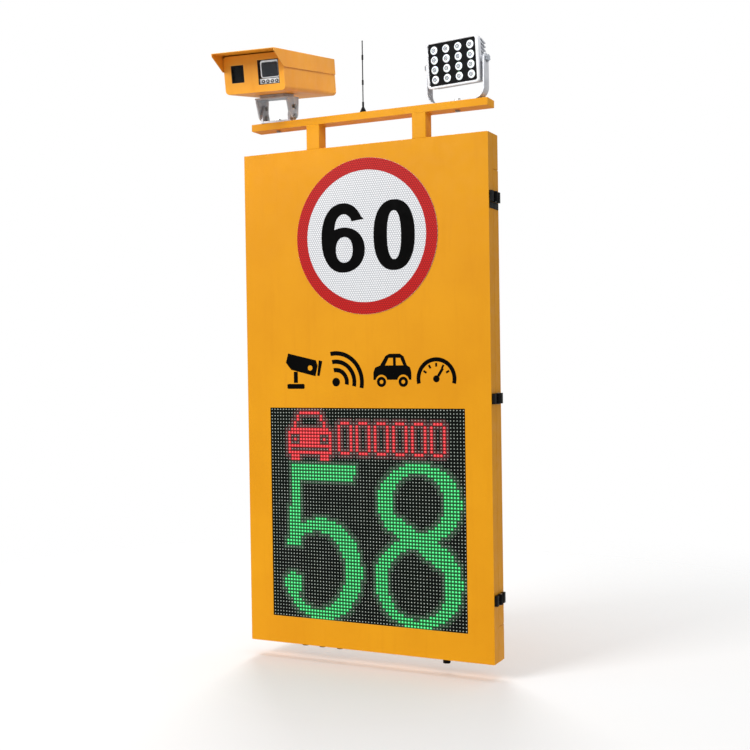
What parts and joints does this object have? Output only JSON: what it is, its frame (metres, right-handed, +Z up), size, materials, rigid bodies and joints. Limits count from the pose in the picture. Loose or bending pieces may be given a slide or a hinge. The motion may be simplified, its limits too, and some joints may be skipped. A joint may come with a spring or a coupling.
{
  "type": "solar speed sign",
  "caption": "Shallow yellow cabinet with a speed-limit disc and LED speed screen, hinged rear door, and a crossbar with camera housing, antenna and floodlight.",
  "frame": {"origin": "centre of the four rear mounting slots, on the plane of the rail faces, at the middle of the cabinet height", "axes": "+X to the viewer's right, +Y away from the viewer towards the pole, +Z up"},
  "size_m": [0.8326, 0.5482, 1.8674],
  "materials": {
    "cabinet_paint": "semi-gloss powder coat",
    "camera_paint": "semi-gloss powder coat",
    "galvanised": "zinc-plated",
    "sign_face": "retroreflective film",
    "led_mask": "matte",
    "black_aluminium": "black anodised",
    "cast_aluminium": "satin casting",
    "zinc": "satin",
    "black_metal": "black powder coat",
    "black_plastic": "matte",
    "grey_plastic": "matte",
    "white_plastic": "gloss",
    "battery_wrap": "heat-shrink sleeve",
    "controller_case": "anodised",
    "board_green": "solder mask",
    "terminal_tan": "matte",
    "rubber_black": "matte",
    "window_glass": "tinted",
    "lens_clear": "clear moulded"
  },
  "bodies": {
    "cabinet": {"front_shell": "cabinet_paint", "top_header": "cabinet_paint", "bottom_header": "cabinet_paint", "mount_rails": "galvanised", "upright_left": "cabinet_paint", "upright_right": "cabinet_paint", "crossbar": "cabinet_paint", "crossbar_end_caps": "cabinet_paint", "sign_disc": "sign_face", "led_modules_left": "led_mask", "led_modules_right": "led_mask", "display_rails": "galvanised", "module_studs": "zinc", "equipment_plate": "galvanised", "plate_standoffs": "zinc", "charge_controller": "controller_case", "battery_pack": "battery_wrap", "battery_bracket": "zinc", "power_supplies": "zinc", "display_controller": "board_green", "router": "grey_plastic", "din_rail": "zinc", "circuit_breaker": "white_plastic", "terminal_block": "terminal_tan", "cable_duct": "grey_plastic", "cable_glands": "black_plastic", "solar_inlet": "black_plastic", "breather_vent": "black_plastic", "frame_seal": "rubber_black", "hinge_frame_leaves": "black_metal", "hinge_pins": "zinc", "antenna_base": "black_plastic", "antenna_whip": "black_metal", "crossbar_bolts": "zinc"},
    "door": {"rear_door": "cabinet_paint", "hinge_door_leaves": "black_metal", "door_stiffeners": "cabinet_paint", "lock_bodies": "zinc"},
    "lock_top": {"lock_cam_1": "zinc"},
    "lock_middle": {"lock_cam_2": "zinc"},
    "lock_bottom": {"lock_cam_3": "zinc"},
    "breaker_lever": {"breaker_toggle": "black_plastic"},
    "camera_pan": {"camera_base": "cast_aluminium", "camera_bolts": "zinc"},
    "camera_head": {"camera_cradle": "cast_aluminium", "camera_tray": "camera_paint", "camera_front_plate": "camera_paint", "camera_windows": "window_glass", "camera_rear_plate": "camera_paint", "camera_unit": "black_aluminium", "camera_light_bar": "white_plastic", "radar_sensor": "black_plastic"},
    "camera_lid": {"camera_hood": "camera_paint"},
    "flood_bracket": {"flood_yoke": "cast_aluminium"},
    "flood_head": {"flood_housing": "cast_aluminium", "flood_bezel": "white_plastic", "flood_face": "black_plastic", "flood_lenses": "lens_clear"},
    "knob_left": {"flood_knob_left": "grey_plastic"},
    "knob_right": {"flood_knob_right": "grey_plastic"}
  },
  "joints": [
    {"name": "door_swing", "type": "hinge", "parent": "cabinet", "child": "door", "pos_m": [0.4065, -0.063, 0], "axis": [0, 0, -1], "range_deg": [0, 120]},
    {"name": "lock_top_turn", "type": "hinge", "parent": "door", "child": "lock_top", "pos_m": [-0.37, -0.021, 0.54], "axis": [0, -1, 0], "range_deg": [0, 90]},
    {"name": "lock_middle_turn", "type": "hinge", "parent": "door", "child": "lock_middle", "pos_m": [-0.37, -0.021, 0], "axis": [0, -1, 0], "range_deg": [0, 90]},
    {"name": "lock_bottom_turn", "type": "hinge", "parent": "door", "child": "lock_bottom", "pos_m": [-0.37, -0.021, -0.54], "axis": [0, -1, 0], "range_deg": [0, 90]},
    {"name": "breaker_switch", "type": "hinge", "parent": "cabinet", "child": "breaker_lever", "pos_m": [-0.2, -0.049, 0.482], "axis": [1, 0, 0], "range_deg": [-70, 0]},
    {"name": "camera_pan_turn", "type": "hinge", "parent": "cabinet", "child": "camera_pan", "pos_m": [-0.29, -0.0735, 0.844], "axis": [0, 0, 1], "range_deg": [-30, 30]},
    {"name": "camera_tilt_turn", "type": "hinge", "parent": "camera_pan", "child": "camera_head", "pos_m": [-0.29, -0.0735, 0.864], "axis": [0.9914, 0.1305, 0], "range_deg": [-20, 20]},
    {"name": "hood_lift", "type": "hinge", "parent": "camera_head", "child": "camera_lid", "pos_m": [-0.32237, 0.17234, 1.08745], "axis": [-0.9914, -0.1305, 0], "range_deg": [0, 70]},
    {"name": "flood_swivel_turn", "type": "hinge", "parent": "cabinet", "child": "flood_bracket", "pos_m": [0.3, -0.0735, 0.844], "axis": [0, 0, 1], "range_deg": [-45, 45]},
    {"name": "flood_tilt_turn", "type": "hinge", "parent": "flood_bracket", "child": "flood_head", "pos_m": [0.3, -0.0735, 0.956], "axis": [0.9903, -0.1392, 0], "range_deg": [-45, 45]},
    {"name": "knob_left_turn", "type": "hinge", "parent": "flood_head", "child": "knob_left", "pos_m": [0.3, -0.0735, 0.956], "axis": [0.9903, -0.1392, 0], "range_deg": [0, 360]},
    {"name": "knob_right_turn", "type": "hinge", "parent": "flood_head", "child": "knob_right", "pos_m": [0.3, -0.0735, 0.956], "axis": [0.9903, -0.1392, 0], "range_deg": [0, 360]}
  ]
}
